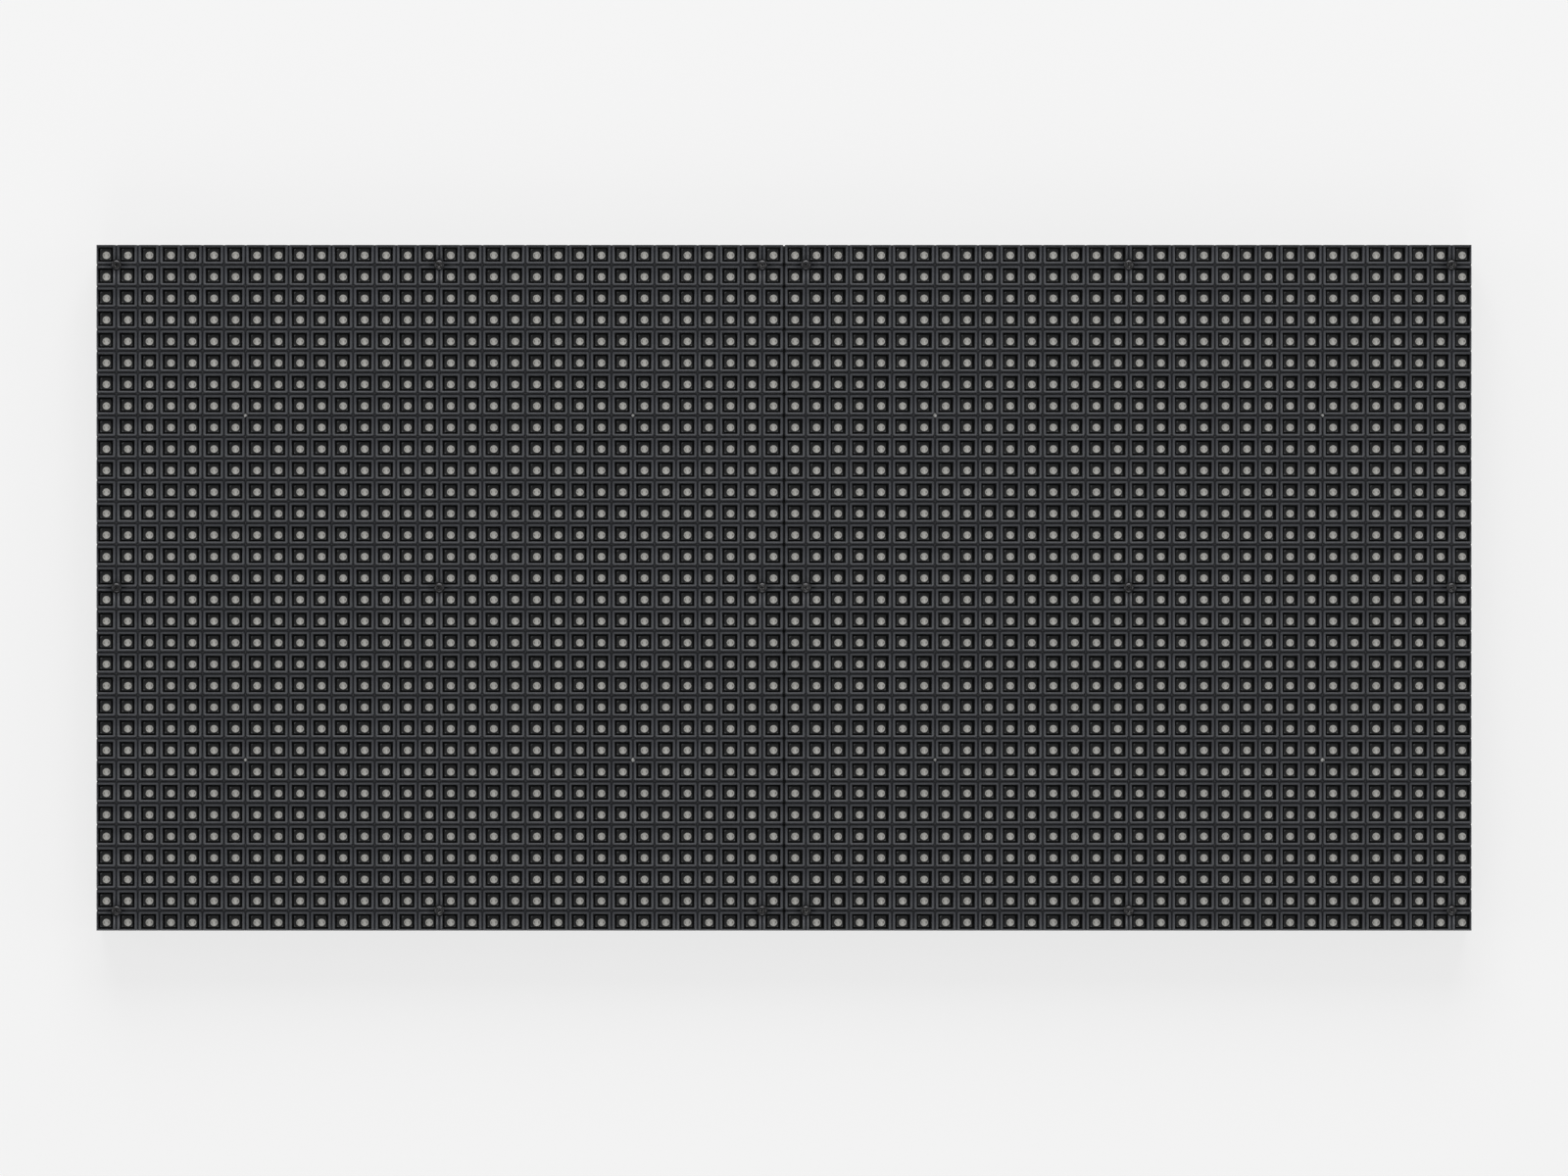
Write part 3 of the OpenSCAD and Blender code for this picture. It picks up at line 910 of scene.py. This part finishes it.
    def _screw_cutter(self, low: Vector, high: Vector) -> bpy.types.Mesh:
        """The shape of the screw holes and the recesses round the heads."""
        tool = Workpiece()
        wide, slim = self.recess_d / 2, self.shank_d / 2
        up, down = high.z + 2, low.z - 1
        tool.turned([(0, down), (slim, down), (slim, high.z), (wide, high.z), (wide, up), (0, up)], 32)
        tool.face_out()
        tool.scatter(
            Matrix.Translation((x, y, 0)) for x, y in crossings() if x * self.side.value > 0
        )
        return tool.mesh("screw_cutter", 30)


@dataclass
class GateScars:
    """The broken moulding gates left in the grooves of the masks."""

    columns: int = 9
    rows: int = 8
    radius: float = 0.34
    spread: float = 0.5
    height: float = 0.3
    taper: float = 0.6
    sunk: float = 0.02
    tear: float = 0.1
    tear_down: float = 0.16
    seed: int = 11

    def build(self) -> None:
        """Shapes the eight scars as one torn piece on each mask."""
        chance = random.Random(self.seed)
        for side in Side:
            low, high = corners_of(f"mask_{side.word}")
            centre = (low + high) / 2
            middle_z = high.z + self.height / 2
            work = Workpiece()
            for column, row in product((-1, 1), repeat=2):
                size = self.radius * (1 - self.spread / 2 + self.spread * chance.random())
                spot = Matrix.Translation((
                    centre.x + side.value * WINDOW_OUTSET + column * self.columns * PITCH,
                    centre.y + row * self.rows * PITCH, middle_z - self.sunk,
                ))
                made = bmesh.ops.create_cone(
                    work.bm, cap_ends=True, cap_tris=True, segments=9, radius1=size,
                    radius2=size * self.taper, depth=self.height, matrix=spot,
                )["verts"]
                for vert in made:
                    if vert.co.z > middle_z:
                        vert.co += Vector((
                            chance.uniform(-self.tear, self.tear),
                            chance.uniform(-self.tear, self.tear),
                            chance.uniform(-self.tear_down, self.tear),
                        ))
            work.finish(f"gate_scars_{side.word}", Looks.GATE, [], 20)


@dataclass(frozen=True)
class Plate:
    """A rectangular plate under the lens: its centre, its sides and how far it is sunk."""

    x: float
    y: float
    width: float
    depth: float
    sunk: float


@dataclass
class LedField:
    """The LEDs under one mask: black packages, white cups, lead frames and clear lenses."""

    side: Side
    package: Size = (2.04, 2.12, 1.4)
    package_at: Place = (-0.14, 0.19)
    corner: float = 0.14
    lens_r: float = 0.75
    rim_r: float = 0.72
    crown: tuple[Place, ...] = ((1.0, -0.004), (0.55, 0.02), (0.0, 0.03))
    cup_r: float = 0.69
    cup_h: float = 0.03
    plate_t: float = 0.015
    frame_ends: tuple[Plate, ...] = (
        Plate(-0.45, 0.0, 0.26, 0.44, 0.003), Plate(0.4, 0.03, 0.26, 0.4, 0.003),
    )
    land: Plate = Plate(0.06, -0.3, 0.17, 0.66, 0.002)
    mark_inset: float = 0.07
    polarity_mark: float = 0.36
    lower_mark: float = 0.26
    mark_t: float = 0.02
    mark_sunk: float = 0.005
    facets: int = 14

    def build(self) -> None:
        """Shapes one LED's pieces and repeats each over the half."""
        node = f"leds_{self.side.word}"
        low = corners_of(node)[0]
        first = (low.x + self.lens_r, low.y + self.lens_r, low.z)
        for name, shape, look, slot in (
            ("led_packages", self._package, Looks.PACKAGE, "chip_epoxy"),
            ("led_corner_pads", self._corner_pads, Looks.CORNER, "pin_tin"),
            ("led_cups", self._cup, Looks.CUP, "led_lens"),
            ("led_lead_frames", self._lead_frame, Looks.LEAD_FRAME, "pin_tin"),
            ("led_bond_lands", self._bond_land, Looks.LAND, "pin_tin"),
            ("led_lenses", self._lens, Looks.LENS, "led_lens"),
        ):
            work = Workpiece()
            shape(work)
            work.face_out()
            work.shift(*first)
            work.tile(DOUBLINGS, DOUBLINGS, PITCH)
            work.finish(f"{name}_{self.side.word}", look, [node], 50)

    def _package(self, work: Workpiece) -> None:
        """The black body, a square block with cut corners."""
        height = self.package[2]
        body = work.block(self.package, (*self.package_at, height / 2))
        upright = [edge for edge in work.bm.edges
                   if abs(edge.verts[0].co.z - edge.verts[1].co.z) > height / 2]
        work.cut_back([*upright, *body], self.corner)

    def _cup(self, work: Workpiece) -> None:
        """The white reflector round the chips, whose mouth is level with the body's top."""
        top = self.package[2] + self.cup_h
        foot = self.package[2] - 0.02
        work.turned([(0, foot), (self.cup_r, foot), (self.cup_r, top), (0, top)], self.facets)

    def _plate(self, work: Workpiece, plate: Plate) -> None:
        """Lays one plate on the cup's floor."""
        z = self.package[2] + self.cup_h + self.plate_t / 2 - plate.sunk
        work.block((plate.width, plate.depth, self.plate_t), (plate.x, plate.y, z))

    def _lead_frame(self, work: Workpiece) -> None:
        """The darker ends of the lead frame on both sides of the cup's floor."""
        for plate in self.frame_ends:
            self._plate(work, plate)

    def _bond_land(self, work: Workpiece) -> None:
        """The bright land that carries the chips, from the cup's lower edge to its middle."""
        self._plate(work, self.land)

    def _corner_pads(self, work: Workpiece) -> None:
        """The polarity mark in one corner of the body and the fainter marks in its lower ones."""
        reach_x, reach_y = (side / 2 - self.mark_inset for side in self.package[:2])
        x0, y0 = self.package_at
        low_mark = self.lower_mark
        for x, y, size in ((-1, 1, self.polarity_mark), (-1, -1, low_mark), (1, -1, low_mark)):
            mark = bmesh.ops.create_circle(work.bm, cap_ends=True, segments=3, radius=1)["verts"]
            spots = ((0, 0), (-size * x, 0), (0, -size * y))
            for vert, (dx, dy) in zip(mark, spots):
                vert.co = Vector((x0 + x * reach_x + dx, y0 + y * reach_y + dy,
                                  self.package[2] - self.mark_sunk))
            face = mark[0].link_faces[0]
            rise = bmesh.ops.extrude_face_region(work.bm, geom=[face])["geom"]
            work.shift(0, 0, self.mark_t, verts_in(rise))

    def _lens(self, work: Workpiece) -> None:
        """The clear epoxy over the cup, slightly crowned."""
        foot = self.package[2] - 0.03
        top = self.package[2] + self.cup_h + self.plate_t
        crown = [(share * self.rim_r, top + rise) for share, rise in self.crown]
        work.turned([(0, foot), (self.rim_r, foot), *crown], self.facets)


@dataclass
class MaskScrews:
    """The pan head screws between the windows, each turned its own way."""

    head_d: float = 1.85
    head_h: float = 0.5
    crown: tuple[Place, ...] = ((1.0, 0.26), (0.94, 0.36), (0.8, 0.44), (0.5, 0.49), (0.0, 0.5))
    shank_d: float = 1.1
    point_l: float = 0.8
    slot_w: float = 0.3
    slot_l: float = 1.2
    slot_deep: float = 0.36
    slot_taper: float = 0.45
    facets: int = 28
    seed: int = 5

    def build(self) -> None:
        """Shapes one screw, cuts its cross recess, and sets it at every crossing."""
        low, high = corners_of("mask_screws")
        seat = high.z - self.head_h
        head, shank = self.head_d / 2, self.shank_d / 2
        crown = [(share * head, seat + rise) for share, rise in self.crown]
        work = Workpiece()
        work.turned(
            [(0, low.z), (shank, low.z + self.point_l), (shank, seat), (head, seat), *crown],
            self.facets,
        )
        work.face_out()
        tool = Workpiece()
        for turn in (0, 90):
            bar = tool.block((self.slot_l, self.slot_w, self.slot_deep + 0.4),
                             (0, 0, high.z - self.slot_deep / 2 + 0.2))
            for vert in bar:
                if vert.co.z < high.z:
                    vert.co.x *= self.slot_taper
            bmesh.ops.rotate(tool.bm, verts=bar, cent=(0, 0, 0),
                             matrix=Matrix.Rotation(math.radians(turn), 3, "Z"))
        one = carve(work.mesh("screw_blank", 40), tool.mesh("cross_cutter", 30), crossing=True)
        chance = random.Random(self.seed)
        group = Workpiece()
        group.bm.from_mesh(one)
        bmesh.ops.scale(group.bm, vec=(1 / MM,) * 3, verts=group.bm.verts)
        group.scatter(
            Matrix.Translation((x, y, 0)) @ Matrix.Rotation(chance.uniform(0, math.pi), 4, "Z")
            for x, y in crossings()
        )
        group.finish("mask_screw_set", Looks.SCREW, ["mask_screws"], 40)


# ---------------------------------------------------------------- the back


@dataclass
class InsertSet:
    """Knurled brass inserts for the mounting screws."""

    outer_r: float = 2.3
    bore_r: float = 1.25
    bore_chamfer: float = 0.25
    rim_chamfer: float = 0.1
    end_chamfer: float = 0.3
    waist_deep: float = 0.25
    waist: Place = (2.7, 3.3)
    waist_slope: float = 0.3
    knurls: int = 24
    knurl_deep: float = 0.12

    def build(self) -> None:
        """Shapes one insert and sets it in every boss."""
        low, high = corners_of("threaded_inserts")
        length = high.z - low.z
        work = Workpiece()
        rim, bore, cut, end = self.outer_r, self.bore_r, self.bore_chamfer, self.end_chamfer
        thin, (start, stop) = rim - self.waist_deep, self.waist
        work.turned([
            (bore + cut, 0), (rim - self.rim_chamfer, 0), (rim, self.rim_chamfer),
            (rim, start - self.waist_slope), (thin, start), (thin, stop),
            (rim, stop + self.waist_slope), (rim, length - end), (rim - end, length),
            (bore + cut, length), (bore, length - cut), (bore, cut), (bore + cut, 0),
        ], 2 * self.knurls)
        for vert in work.bm.verts:
            turn = math.atan2(vert.co.y, vert.co.x) / math.tau * 2 * self.knurls
            if round(turn) % 2 and vert.co.xy.length > rim - 0.05:
                vert.co.xy *= (rim - self.knurl_deep) / rim
        work.face_out()
        reach = (high - low) / 2
        centre = (low + high) / 2
        work.scatter(
            Matrix.Translation((centre.x + column * (reach.x - rim),
                                centre.y + row * (reach.y - rim), low.z))
            for column, row in product((-1, 0, 1), (-1, 1))
        )
        work.finish("insert_set", Looks.BRASS, ["threaded_inserts"], 40)


@dataclass
class PinRow:
    """The square pins of one header, with tapered tips towards the plug."""

    node: str
    name: str
    look: Finish
    slot: str
    side: float
    pitch: float
    columns: int
    rows: int
    tip: float = 0.5

    def build(self) -> None:
        """Shapes one pin and repeats it over the header."""
        low, high = corners_of(self.node)
        length = high.z - low.z
        work = Workpiece()
        work.block((self.side, self.side, length - self.tip), (0, 0, (length + self.tip) / 2))
        end = min(work.bm.faces, key=lambda face: face.calc_center_median().z)
        tip = bmesh.ops.extrude_discrete_faces(work.bm, faces=[end])["faces"][0]
        for vert in tip.verts:
            vert.co = Vector((vert.co.x * 0.5, vert.co.y * 0.5, 0))
        work.scatter(
            Matrix.Translation((
                low.x + self.side / 2 + column * self.pitch,
                low.y + self.side / 2 + row * self.pitch, low.z,
            ))
            for column, row in product(range(self.columns), range(self.rows))
        )
        work.finish(self.name, self.look, [self.node], 30)


@dataclass
class ChipLegs:
    """Gull-wing legs along both long sides of every chip of one kind."""

    name: str
    places: Sequence[Place]
    legs: int
    leg_pitch: float
    leg_w: float
    body_w: float
    body_t: float
    reach: float = 1.05
    shoulder: float = 0.3
    heel: float = 0.5
    thick: float = 0.16

    def build(self) -> None:
        """Shapes one leg, mirrors it and repeats it along each chip."""
        board = corners_of("circuit_board")[0].z
        work = Workpiece()
        half, t, high, edge = self.leg_w / 2, self.thick, self.body_t / 2, self.body_w / 2
        path = (
            (edge - 0.02, high), (edge + self.shoulder * self.reach, high),
            (edge + self.heel * self.reach, t / 2), (edge + self.reach, t / 2),
        )
        bm = work.bm
        start = [bm.verts.new((x, path[0][0], path[0][1] + z))
                 for x, z in ((-half, -t / 2), (half, -t / 2), (half, t / 2), (-half, t / 2))]
        face = bm.faces.new(start)
        for (y0, z0), (y1, z1) in zip(path, path[1:]):
            made = bmesh.ops.extrude_face_region(bm, geom=[face])["geom"]
            face = next(item for item in made if isinstance(item, bmesh.types.BMFace))
            work.shift(0, y1 - y0, z1 - z0, face.verts)
        work.face_out()
        along = spaced(self.legs, self.leg_pitch)
        down = Matrix.Scale(-1, 4, (0, 0, 1))
        work.scatter(
            Matrix.Translation((x + dx, y, board)) @ down @ Matrix.Rotation(turn, 4, "Z")
            for (x, y), dx, turn in product(self.places, along, (0, math.pi))
        )
        work.face_out()
        work.finish(self.name, Looks.TIN, [], 40)


@dataclass
class EndCaps:
    """The tinned ends of every chip resistor or chip capacitor."""

    name: str
    node: str
    places: Sequence[Place]
    size: Size
    cap_l: float = 0.35
    skin: float = 0.02
    edge_cut: float = 0.05

    def build(self) -> None:
        """Shapes a cap for each end of every part."""
        board = corners_of(self.node)[1].z
        w, length, t = self.size
        work = Workpiece()
        for end in (-1, 1):
            work.block(
                (w + 2 * self.skin, self.cap_l, t + self.skin),
                (0, end * (length / 2 - self.cap_l / 2 + self.skin), board - (t + self.skin) / 2),
            )
        work.cut_back(work.bm.edges, self.edge_cut)
        work.scatter(Matrix.Translation((x, y, 0)) for x, y in self.places)
        work.finish(self.name, Looks.TIN, [], 40)


@dataclass
class BackSide:
    """Everything behind the board."""

    driver: Size = (8.65, 3.9, 1.5)
    driver_groups: int = 4
    driver_stack: int = 3
    driver_step: float = 11.0
    row_chip_l: float = 4.9
    row_chips: int = 4
    row_chip_step: float = 11.0
    decoder_l: float = 9.9
    buffer: Size = (12.8, 7.5, 2.3)
    buffers: int = 3
    buffer_step: float = 12.0
    fine_leg: Place = (0.635, 0.28)
    coarse_leg: Place = (1.27, 0.42)
    trim_gap: float = 1.6
    resistor: Size = (0.8, 1.6, 0.45)
    capacitor: Size = (1.25, 2.0, 0.85)

    def build(self) -> None:
        """Adds the inserts, pins, legs and caps, and dresses the frame's own nodes."""
        InsertSet().build()
        for word in ("in", "out"):
            PinRow(f"signal_{word}_pins", f"signal_{word}_pin_set", Looks.GOLD, "pin_gold",
                   side=0.64, pitch=2.54, columns=2, rows=8).build()
        PinRow("power_pins_set", "power_pin_row", Looks.TIN, "pin_tin",
               side=1.14, pitch=3.96, columns=4, rows=1, tip=0.9).build()
        drivers = self._drivers()
        row_x = corners_of("row_drivers")[1].x - self.row_chip_l / 2
        decoder_x = corners_of("decoder_chips")[1].x - self.decoder_l / 2
        y0 = self._middle("column_drivers").y
        spot = self._middle("buffer_chips")
        rows = spaced(self.row_chips, self.row_chip_step)
        for name, places, legs, leg, body in (
            ("column_driver_legs", drivers, 12, self.fine_leg, self.driver),
            ("row_driver_legs", [(side * row_x, y0 + y) for side in (-1, 1) for y in rows],
             4, self.coarse_leg, self.driver),
            ("decoder_legs", [(side * decoder_x, y0) for side in (-1, 1)],
             8, self.coarse_leg, self.driver),
            ("buffer_legs",
             [(spot.x, spot.y + y) for y in spaced(self.buffers, self.buffer_step)],
             10, self.coarse_leg, self.buffer),
        ):
            ChipLegs(name, places, legs, *leg, *body[1:]).build()
        for node, name, way, size in (
            ("chip_resistors", "resistor_ends", 1, self.resistor),
            ("chip_capacitors", "capacitor_ends", -1, self.capacitor),
        ):
            away = way * (self.driver[0] / 2 + self.trim_gap + size[0] / 2)
            EndCaps(name, node, [(x + away, y) for x, y in drivers], size).build()
        self._dress()

    def _drivers(self) -> list[Place]:
        """Where the column drivers lie: stacks over and under the middle, in groups."""
        low, high = corners_of("column_drivers")
        length, width, _ = self.driver
        first = (high.y - low.y - width) / 2 - (self.driver_stack - 1) * self.driver_step
        group_step = (high.x - length / 2) / ((self.driver_groups - 1) / 2)
        return [
            (x, (low.y + high.y) / 2 + side * (first + level * self.driver_step))
            for x in spaced(self.driver_groups, group_step)
            for side in (-1, 1) for level in range(self.driver_stack)
        ]

    @staticmethod
    def _middle(node: str) -> Vector:
        """The centre of a node's box."""
        low, high = corners_of(node)
        return (low + high) / 2

    @staticmethod
    def _dress() -> None:
        """Gives each of the frame's own nodes that stay in view its finish."""
        looks = {
            "circuit_board": Looks.BOARD, "back_frame": Looks.FRAME,
            "signal_in_shell": Looks.HEADER, "signal_out_shell": Looks.HEADER,
            "power_base": Looks.NYLON, "column_drivers": Looks.CHIP, "row_drivers": Looks.CHIP,
            "decoder_chips": Looks.CHIP, "buffer_chips": Looks.CHIP,
            "capacitor_bases": Looks.HEADER, "capacitor_cans": Looks.CAN,
            "chip_resistors": Looks.RESISTOR, "chip_capacitors": Looks.CERAMIC,
        }
        for node, look in looks.items():
            materials = bpy.data.objects[node].data.materials
            materials.clear()
            materials.append(look.material())
            LOG.info("%s: dressed", node)


# ---------------------------------------------------------------- studio


@dataclass(frozen=True)
class Lamp:
    """A square soft lamp that looks at the module, in metres and watts."""

    name: str
    spot: Size
    size: float
    power: float

    def build(self) -> None:
        """Hangs the lamp."""
        data = bpy.data.lights.new(self.name, "AREA")
        data.shape, data.size, data.energy = "SQUARE", self.size, self.power
        lamp = add_object(self.name, data)
        lamp.location = self.spot
        lamp.rotation_euler = (-Vector(self.spot)).to_track_quat("-Z", "Y").to_euler()


@dataclass
class Studio:
    """Pale floor, soft lamps and the camera over the display, in metres."""

    floor_size: float = 8.0
    floor_shade: float = 0.82
    floor_glow: float = 0.72
    camera_lens: float = 300.0
    sensor: float = 36.0
    near_clip: float = 0.05
    far_clip: float = 50.0
    frame_width: float = 0.2913
    world_light: float = 0.18
    lamps: tuple[Lamp, ...] = (
        Lamp("lamp_left", (-1.1, 0.0, 0.8), size=0.9, power=2.6),
        Lamp("lamp_right", (1.1, 0.0, 0.8), size=0.9, power=2.6),
        Lamp("lamp_top", (0.0, 1.1, 0.9), size=1.0, power=13.0),
        Lamp("lamp_front", (0.0, -1.1, 0.9), size=1.0, power=4.5),
    )

    def build(self) -> None:
        """Sets the stage."""
        self._floor()
        self._world()
        for lamp in self.lamps:
            lamp.build()
        self._camera()

    def _floor(self) -> None:
        """A plain pale floor that keeps the module's shadow and reads as white."""
        work = Workpiece()
        bmesh.ops.create_grid(work.bm, x_segments=1, y_segments=1, size=self.floor_size / MM / 2)
        floor = add_object("floor", work.mesh("floor", 30))
        bench = Bench(bpy.data.materials.new("floor_white"))
        rays = [bench.node("ShaderNodeLightPath", output=f"Is {kind} Ray")
                for kind in ("Camera", "Glossy", "Transmission")]
        behind = bench.node("ShaderNodeNewGeometry", output="Backfacing")
        seen = bench.band(rays[0] + rays[1] + rays[2], 0.0, 1.0)
        shade = (self.floor_shade,) * 3 + (1.0,)
        lit = bench.node("ShaderNodeBsdfDiffuse", {}, {"Color": shade})
        white = bench.node("ShaderNodeEmission", {}, {"Color": (1, 1, 1, 1), "Strength": 1.0})
        clear = bench.node("ShaderNodeBsdfTransparent")
        face = bench.node("ShaderNodeMixShader", {}, {0: seen * self.floor_glow, 1: lit, 2: white})
        both = bench.node("ShaderNodeMixShader", {}, {0: behind, 1: face, 2: clear})
        bench.node("ShaderNodeOutputMaterial", {}, {"Surface": both})
        floor.data.materials.append(bench.owner)
        floor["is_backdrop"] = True

    def _world(self) -> None:
        """A plain sky: dim light on the module, white where it is seen."""
        bench = Bench(bpy.data.worlds.new("studio_sky"))
        soft, white = (
            bench.node("ShaderNodeBackground", {}, {"Color": (1, 1, 1, 1), "Strength": strength})
            for strength in (self.world_light, 1.0)
        )
        seen = bench.node("ShaderNodeLightPath", output="Is Camera Ray")
        sky = bench.node("ShaderNodeMixShader", {}, {0: seen, 1: soft, 2: white})
        bench.node("ShaderNodeOutputWorld", {}, {"Surface": sky})
        bpy.context.scene.world = bench.owner

    def _camera(self) -> None:
        """A long lens straight over the display."""
        data = bpy.data.cameras.new("camera")
        data.lens, data.sensor_width = self.camera_lens, self.sensor
        data.clip_start, data.clip_end = self.near_clip, self.far_clip
        camera = add_object("camera", data)
        low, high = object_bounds()
        away = self.frame_width * self.camera_lens / data.sensor_width
        camera.location = ((low.x + high.x) / 2, (low.y + high.y) / 2, high.z + away)
        bpy.context.scene.camera = camera


def main() -> None:
    """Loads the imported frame, builds every piece round it and sets the stage."""
    logging.basicConfig(level=logging.INFO, format="%(name)s: %(message)s")
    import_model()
    for side in Side:
        WindowMask(side).build()
        LedField(side).build()
    GateScars().build()
    MaskScrews().build()
    BackSide().build()
    Studio().build()
    bpy.context.scene.view_settings.view_transform = "Standard"


if __name__ == "__main__":
    main()
